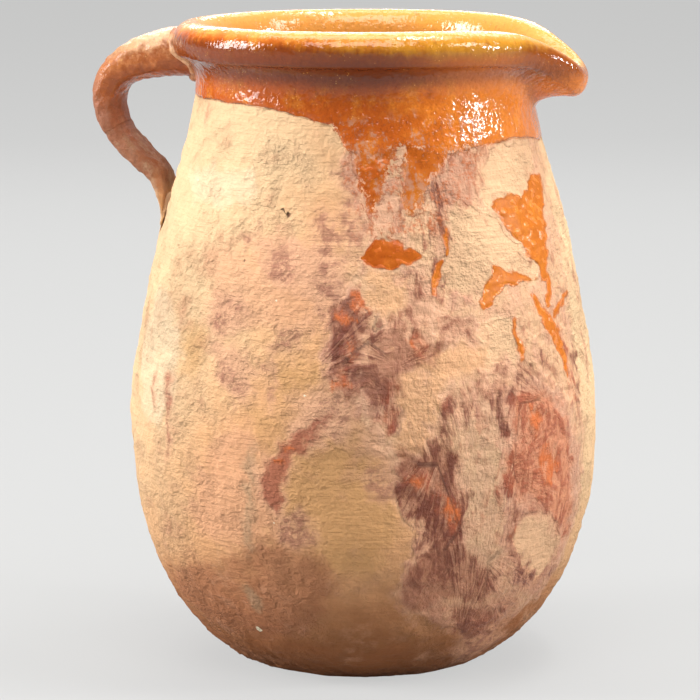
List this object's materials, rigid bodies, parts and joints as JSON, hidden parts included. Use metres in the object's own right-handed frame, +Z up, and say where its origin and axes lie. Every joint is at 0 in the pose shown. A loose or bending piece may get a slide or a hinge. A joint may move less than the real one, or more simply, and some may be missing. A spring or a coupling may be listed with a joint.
{
  "type": "pottery pitcher",
  "caption": "Thrown earthenware pitcher with rolled rim, pulled pouring lip and strap handle, honey glazed collar and lining over bare clay.",
  "frame": {"origin": "on the pot's axis, at the middle of the flat foot it stands on", "axes": "+Z up along the pot's axis, +X towards the pouring lip, -X towards the handle"},
  "size_m": [0.1995, 0.184, 0.2504],
  "materials": {
    "terracotta": "bare fired clay, rough",
    "slip": "dried slip, matt",
    "honey_glaze": "glossy lead-like honey glaze",
    "lining": "glossy yellow glaze",
    "starved_glaze": "thin dry film of glaze, satin"
  },
  "bodies": {
    "root": {"vessel": "terracotta", "handle": "terracotta", "top_luting_slip": "slip", "tail_luting_slip": "slip", "lining_glaze": "lining", "collar_glaze": "honey_glaze", "handle_glaze": "honey_glaze", "glaze_runs": "honey_glaze", "glaze_wash": "starved_glaze"}
  },
  "joints": []
}
